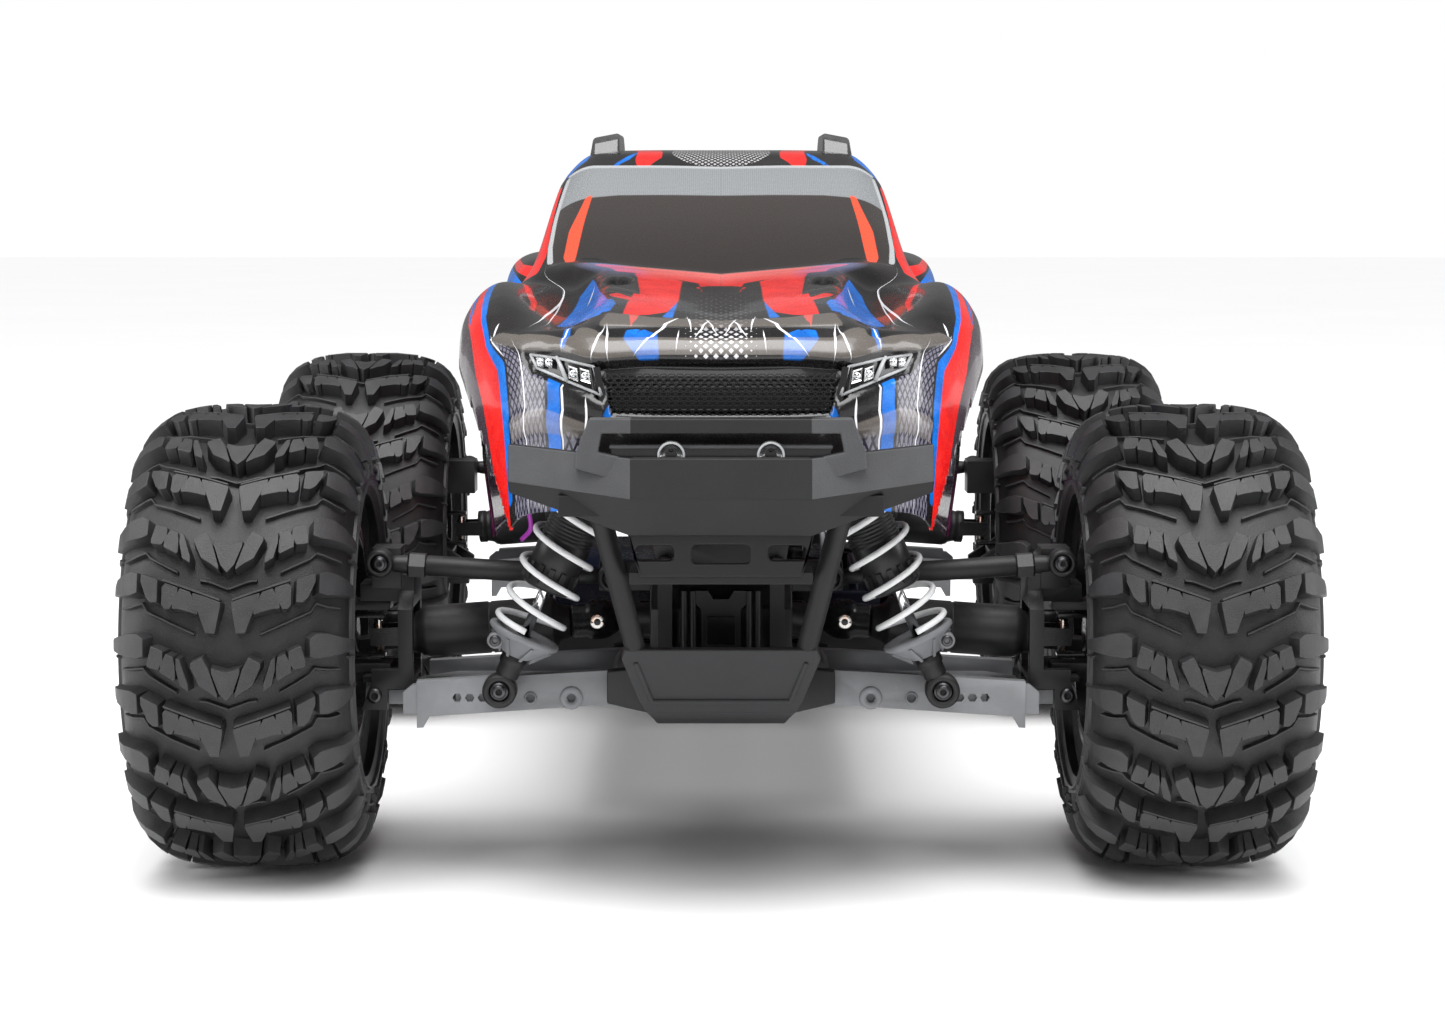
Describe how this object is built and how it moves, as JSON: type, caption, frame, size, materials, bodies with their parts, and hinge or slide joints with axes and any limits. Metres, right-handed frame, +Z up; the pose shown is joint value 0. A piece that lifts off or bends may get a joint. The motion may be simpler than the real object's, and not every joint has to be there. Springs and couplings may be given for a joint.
{
  "type": "rc monster truck",
  "caption": "Electric radio-controlled monster truck: painted lift-off shell, sprung double-link suspension at each corner, linked front steering and spinning wheels.",
  "frame": {"origin": "on the ground below the middle of the wheelbase, centred between the bumpers and the tyres", "axes": "+Z up, the nose points along -Y, +X is the truck's own left"},
  "size_m": [0.362, 0.525, 0.2335],
  "materials": {
    "tyre": "matte, faintly dusty tread",
    "wheel_black": "satin black",
    "arm_grey": "satin moulded grey",
    "black_plastic": "satin moulded black",
    "shock_black": "semi-gloss black",
    "shock_fittings": "light grey moulding with a steel rod",
    "spring_white": "white coated wire",
    "bumper_charcoal": "grained charcoal",
    "gear_steel": "turned steel",
    "motor_can": "satin can",
    "battery_wrap": "shrink wrap",
    "controller_case": "dark blue case",
    "shell_paint": "clear shell painted inside in red, blue and black"
  },
  "bodies": {
    "chassis": {"chassis": "black_plastic", "front_gearbox": "black_plastic", "rear_gearbox": "black_plastic", "front_shock_tower": "black_plastic", "rear_shock_tower": "black_plastic", "front_bumper": "bumper_charcoal", "front_skid_plate": "bumper_charcoal", "rear_bumper": "bumper_charcoal", "motor": "motor_can", "battery_pack": "battery_wrap", "speed_controller": "controller_case", "steering_servo": "black_plastic"},
    "body_shell": {"body_shell": "shell_paint"},
    "arm_front_left": {"lower_arm_front_left": "arm_grey"},
    "caster_front_left": {"caster_block_front_left": "black_plastic"},
    "link_front_left": {"camber_link_front_left": "black_plastic"},
    "joint_front_left": {"drive_joint_front_left": "black_plastic"},
    "shaft_front_left": {"half_shaft_front_left": "black_plastic"},
    "shock_front_left": {"shock_body_front_left": "shock_black", "shock_spring_front_left": "spring_white"},
    "rod_front_left": {"shock_shaft_front_left": "shock_fittings"},
    "wheel_front_left": {"tyre_front_left": "tyre", "wheel_front_left": "wheel_black"},
    "knuckle_front_left": {"steering_knuckle_front_left": "black_plastic"},
    "toe_front_left": {"toe_link_front_left": "black_plastic"},
    "arm_front_right": {"lower_arm_front_right": "arm_grey"},
    "caster_front_right": {"caster_block_front_right": "black_plastic"},
    "link_front_right": {"camber_link_front_right": "black_plastic"},
    "joint_front_right": {"drive_joint_front_right": "black_plastic"},
    "shaft_front_right": {"half_shaft_front_right": "black_plastic"},
    "shock_front_right": {"shock_body_front_right": "shock_black", "shock_spring_front_right": "spring_white"},
    "rod_front_right": {"shock_shaft_front_right": "shock_fittings"},
    "wheel_front_right": {"tyre_front_right": "tyre", "wheel_front_right": "wheel_black"},
    "knuckle_front_right": {"steering_knuckle_front_right": "black_plastic"},
    "toe_front_right": {"toe_link_front_right": "black_plastic"},
    "arm_rear_left": {"lower_arm_rear_left": "arm_grey"},
    "carrier_rear_left": {"axle_carrier_rear_left": "black_plastic"},
    "link_rear_left": {"camber_link_rear_left": "black_plastic"},
    "joint_rear_left": {"drive_joint_rear_left": "black_plastic"},
    "shaft_rear_left": {"half_shaft_rear_left": "black_plastic"},
    "shock_rear_left": {"shock_body_rear_left": "shock_black", "shock_spring_rear_left": "spring_white"},
    "rod_rear_left": {"shock_shaft_rear_left": "shock_fittings"},
    "wheel_rear_left": {"tyre_rear_left": "tyre", "wheel_rear_left": "wheel_black"},
    "arm_rear_right": {"lower_arm_rear_right": "arm_grey"},
    "carrier_rear_right": {"axle_carrier_rear_right": "black_plastic"},
    "link_rear_right": {"camber_link_rear_right": "black_plastic"},
    "joint_rear_right": {"drive_joint_rear_right": "black_plastic"},
    "shaft_rear_right": {"half_shaft_rear_right": "black_plastic"},
    "shock_rear_right": {"shock_body_rear_right": "shock_black", "shock_spring_rear_right": "spring_white"},
    "rod_rear_right": {"shock_shaft_rear_right": "shock_fittings"},
    "wheel_rear_right": {"tyre_rear_right": "tyre", "wheel_rear_right": "wheel_black"},
    "drag_link": {"drag_link": "black_plastic"},
    "centre_drive": {"centre_shaft": "gear_steel"},
    "pinion": {"pinion_gear": "gear_steel"}
  },
  "joints": [
    {"name": "body_shell_lift", "type": "slide", "parent": "chassis", "child": "body_shell", "axis": [0, 0, 1], "range_m": [0, 0.16]},
    {"name": "arm_hinge_front_left", "type": "hinge", "parent": "chassis", "child": "arm_front_left", "pos_m": [0.03, -0.1555, 0.062], "axis": [0, -1, 0], "range_deg": [-10, 20], "stiffness_Nm_per_rad": 5, "springref_deg": -3.38},
    {"name": "caster_pivot_front_left", "type": "hinge", "parent": "arm_front_left", "child": "caster_front_left", "pos_m": [0.108, -0.1555, 0.056], "axis": [0, -1, 0], "range_deg": [-14.56, 7.38]},
    {"name": "link_pivot_front_left", "type": "hinge", "parent": "chassis", "child": "link_front_left", "pos_m": [0.034, -0.1685, 0.093], "axis": [0, -1, 0], "range_deg": [-11.1, 22]},
    {"name": "drive_swing_front_left", "type": "hinge", "parent": "chassis", "child": "joint_front_left", "pos_m": [0.038, -0.1555, 0.078], "axis": [0, -1, 0], "range_deg": [-11.42, 22.65]},
    {"name": "shock_pivot_front_left", "type": "hinge", "parent": "chassis", "child": "shock_front_left", "pos_m": [0.0285, -0.1875, 0.148], "axis": [0, -1, 0], "range_deg": [-1.65, 3.11]},
    {"name": "shock_slide_front_left", "type": "slide", "parent": "shock_front_left", "child": "rod_front_left", "axis": [0.4088, 0, -0.9126], "range_m": [-0.01234, 0.00622], "deforming": ["shock_spring_front_left"]},
    {"name": "steer_front_left", "type": "hinge", "parent": "caster_front_left", "child": "knuckle_front_left", "pos_m": [0.108, -0.1555, 0.073], "axis": [0, 0, 1], "range_deg": [-21, 21]},
    {"name": "wheel_spin_front_left", "type": "hinge", "parent": "knuckle_front_left", "child": "wheel_front_left", "pos_m": [0.145, -0.1555, 0.073], "axis": [1, 0, 0], "continuous": true},
    {"name": "shaft_spin_front_left", "type": "hinge", "parent": "joint_front_left", "child": "shaft_front_left", "pos_m": [0.038, -0.1555, 0.078], "axis": [0.9975, 0, -0.0712], "continuous": true},
    {"name": "arm_hinge_front_right", "type": "hinge", "parent": "chassis", "child": "arm_front_right", "pos_m": [-0.03, -0.1555, 0.062], "axis": [0, 1, 0], "range_deg": [-10, 20], "stiffness_Nm_per_rad": 5, "springref_deg": -3.38},
    {"name": "caster_pivot_front_right", "type": "hinge", "parent": "arm_front_right", "child": "caster_front_right", "pos_m": [-0.108, -0.1555, 0.056], "axis": [0, 1, 0], "range_deg": [-14.56, 7.38]},
    {"name": "link_pivot_front_right", "type": "hinge", "parent": "chassis", "child": "link_front_right", "pos_m": [-0.034, -0.1685, 0.093], "axis": [0, 1, 0], "range_deg": [-11.1, 22]},
    {"name": "drive_swing_front_right", "type": "hinge", "parent": "chassis", "child": "joint_front_right", "pos_m": [-0.038, -0.1555, 0.078], "axis": [0, 1, 0], "range_deg": [-11.42, 22.65]},
    {"name": "shock_pivot_front_right", "type": "hinge", "parent": "chassis", "child": "shock_front_right", "pos_m": [-0.0285, -0.1875, 0.148], "axis": [0, 1, 0], "range_deg": [-1.65, 3.11]},
    {"name": "shock_slide_front_right", "type": "slide", "parent": "shock_front_right", "child": "rod_front_right", "axis": [-0.4088, 0, -0.9126], "range_m": [-0.01234, 0.00622], "deforming": ["shock_spring_front_right"]},
    {"name": "steer_front_right", "type": "hinge", "parent": "caster_front_right", "child": "knuckle_front_right", "pos_m": [-0.108, -0.1555, 0.073], "axis": [0, 0, 1], "range_deg": [-21.2, 21.2]},
    {"name": "wheel_spin_front_right", "type": "hinge", "parent": "knuckle_front_right", "child": "wheel_front_right", "pos_m": [-0.145, -0.1555, 0.073], "axis": [1, 0, 0], "continuous": true},
    {"name": "shaft_spin_front_right", "type": "hinge", "parent": "joint_front_right", "child": "shaft_front_right", "pos_m": [-0.038, -0.1555, 0.078], "axis": [0.9975, 0, 0.0712], "continuous": true},
    {"name": "arm_hinge_rear_left", "type": "hinge", "parent": "chassis", "child": "arm_rear_left", "pos_m": [0.03, 0.1555, 0.062], "axis": [0, -1, 0], "range_deg": [-10, 20], "stiffness_Nm_per_rad": 5, "springref_deg": -3.38},
    {"name": "carrier_pivot_rear_left", "type": "hinge", "parent": "arm_rear_left", "child": "carrier_rear_left", "pos_m": [0.108, 0.1555, 0.056], "axis": [0, -1, 0], "range_deg": [-14.56, 7.38]},
    {"name": "link_pivot_rear_left", "type": "hinge", "parent": "chassis", "child": "link_rear_left", "pos_m": [0.034, 0.1685, 0.093], "axis": [0, -1, 0], "range_deg": [-11.1, 22]},
    {"name": "drive_swing_rear_left", "type": "hinge", "parent": "chassis", "child": "joint_rear_left", "pos_m": [0.038, 0.1555, 0.078], "axis": [0, -1, 0], "range_deg": [-11.42, 22.65]},
    {"name": "shock_pivot_rear_left", "type": "hinge", "parent": "chassis", "child": "shock_rear_left", "pos_m": [0.0285, 0.1875, 0.148], "axis": [0, -1, 0], "range_deg": [-1.65, 3.11]},
    {"name": "shock_slide_rear_left", "type": "slide", "parent": "shock_rear_left", "child": "rod_rear_left", "axis": [0.4088, 0, -0.9126], "range_m": [-0.01234, 0.00622], "deforming": ["shock_spring_rear_left"]},
    {"name": "wheel_spin_rear_left", "type": "hinge", "parent": "carrier_rear_left", "child": "wheel_rear_left", "pos_m": [0.145, 0.1555, 0.073], "axis": [1, 0, 0], "continuous": true},
    {"name": "shaft_spin_rear_left", "type": "hinge", "parent": "joint_rear_left", "child": "shaft_rear_left", "pos_m": [0.038, 0.1555, 0.078], "axis": [0.9975, 0, -0.0712], "continuous": true},
    {"name": "arm_hinge_rear_right", "type": "hinge", "parent": "chassis", "child": "arm_rear_right", "pos_m": [-0.03, 0.1555, 0.062], "axis": [0, 1, 0], "range_deg": [-10, 20], "stiffness_Nm_per_rad": 5, "springref_deg": -3.38},
    {"name": "carrier_pivot_rear_right", "type": "hinge", "parent": "arm_rear_right", "child": "carrier_rear_right", "pos_m": [-0.108, 0.1555, 0.056], "axis": [0, 1, 0], "range_deg": [-14.56, 7.38]},
    {"name": "link_pivot_rear_right", "type": "hinge", "parent": "chassis", "child": "link_rear_right", "pos_m": [-0.034, 0.1685, 0.093], "axis": [0, 1, 0], "range_deg": [-11.1, 22]},
    {"name": "drive_swing_rear_right", "type": "hinge", "parent": "chassis", "child": "joint_rear_right", "pos_m": [-0.038, 0.1555, 0.078], "axis": [0, 1, 0], "range_deg": [-11.42, 22.65]},
    {"name": "shock_pivot_rear_right", "type": "hinge", "parent": "chassis", "child": "shock_rear_right", "pos_m": [-0.0285, 0.1875, 0.148], "axis": [0, 1, 0], "range_deg": [-1.65, 3.11]},
    {"name": "shock_slide_rear_right", "type": "slide", "parent": "shock_rear_right", "child": "rod_rear_right", "axis": [-0.4088, 0, -0.9126], "range_m": [-0.01234, 0.00622], "deforming": ["shock_spring_rear_right"]},
    {"name": "wheel_spin_rear_right", "type": "hinge", "parent": "carrier_rear_right", "child": "wheel_rear_right", "pos_m": [-0.145, 0.1555, 0.073], "axis": [1, 0, 0], "continuous": true},
    {"name": "shaft_spin_rear_right", "type": "hinge", "parent": "joint_rear_right", "child": "shaft_rear_right", "pos_m": [-0.038, 0.1555, 0.078], "axis": [0.9975, 0, 0.0712], "continuous": true},
    {"name": "drag_slide", "type": "slide", "parent": "chassis", "child": "drag_link", "axis": [1, 0, 0], "range_m": [-0.0096, 0.0096]},
    {"name": "toe_swing_front_left", "type": "hinge", "parent": "drag_link", "child": "toe_front_left", "pos_m": [0.024, -0.1295, 0.0775], "axis": [0, -1, 0], "range_deg": [-9.72, 19.24]},
    {"name": "toe_swing_front_right", "type": "hinge", "parent": "drag_link", "child": "toe_front_right", "pos_m": [-0.024, -0.1295, 0.0775], "axis": [0, 1, 0], "range_deg": [-9.72, 19.24]},
    {"name": "centre_spin", "type": "hinge", "parent": "chassis", "child": "centre_drive", "pos_m": [0, 0.112, 0.075], "axis": [0, 1, 0], "continuous": true},
    {"name": "pinion_spin", "type": "hinge", "parent": "chassis", "child": "pinion", "pos_m": [0.02167, 0.112, 0.07882], "axis": [0, 1, 0], "continuous": true}
  ],
  "couplings": [
    {"joint": "caster_pivot_front_left", "follows": "arm_hinge_front_left", "ratio": -0.7178},
    {"joint": "link_pivot_front_left", "follows": "arm_hinge_front_left", "ratio": 1.0901},
    {"joint": "drive_swing_front_left", "follows": "arm_hinge_front_left", "ratio": 1.1223},
    {"joint": "shock_pivot_front_left", "follows": "arm_hinge_front_left", "ratio": 0.1454},
    {"joint": "shock_slide_front_left", "follows": "arm_hinge_front_left", "m_per_rad": -0.035072},
    {"joint": "shaft_spin_front_left", "follows": "wheel_spin_front_left", "ratio": 1},
    {"joint": "caster_pivot_front_right", "follows": "arm_hinge_front_right", "ratio": -0.7178},
    {"joint": "link_pivot_front_right", "follows": "arm_hinge_front_right", "ratio": 1.0901},
    {"joint": "drive_swing_front_right", "follows": "arm_hinge_front_right", "ratio": 1.1223},
    {"joint": "shock_pivot_front_right", "follows": "arm_hinge_front_right", "ratio": 0.1454},
    {"joint": "shock_slide_front_right", "follows": "arm_hinge_front_right", "m_per_rad": -0.035072},
    {"joint": "steer_front_right", "follows": "steer_front_left", "ratio": 1},
    {"joint": "shaft_spin_front_right", "follows": "wheel_spin_front_right", "ratio": 1},
    {"joint": "carrier_pivot_rear_left", "follows": "arm_hinge_rear_left", "ratio": -0.7178},
    {"joint": "link_pivot_rear_left", "follows": "arm_hinge_rear_left", "ratio": 1.0901},
    {"joint": "drive_swing_rear_left", "follows": "arm_hinge_rear_left", "ratio": 1.1223},
    {"joint": "shock_pivot_rear_left", "follows": "arm_hinge_rear_left", "ratio": 0.1454},
    {"joint": "shock_slide_rear_left", "follows": "arm_hinge_rear_left", "m_per_rad": -0.035072},
    {"joint": "shaft_spin_rear_left", "follows": "wheel_spin_rear_left", "ratio": 1},
    {"joint": "carrier_pivot_rear_right", "follows": "arm_hinge_rear_right", "ratio": -0.7178},
    {"joint": "link_pivot_rear_right", "follows": "arm_hinge_rear_right", "ratio": 1.0901},
    {"joint": "drive_swing_rear_right", "follows": "arm_hinge_rear_right", "ratio": 1.1223},
    {"joint": "shock_pivot_rear_right", "follows": "arm_hinge_rear_right", "ratio": 0.1454},
    {"joint": "shock_slide_rear_right", "follows": "arm_hinge_rear_right", "m_per_rad": -0.035072},
    {"joint": "shaft_spin_rear_right", "follows": "wheel_spin_rear_right", "ratio": 1},
    {"joint": "drag_slide", "follows": "steer_front_left", "m_per_rad": -0.0255},
    {"joint": "toe_swing_front_left", "follows": "arm_hinge_front_left", "ratio": 0.9518},
    {"joint": "toe_swing_front_right", "follows": "arm_hinge_front_right", "ratio": 0.9518},
    {"joint": "pinion_spin", "follows": "centre_spin", "ratio": -3}
  ]
}
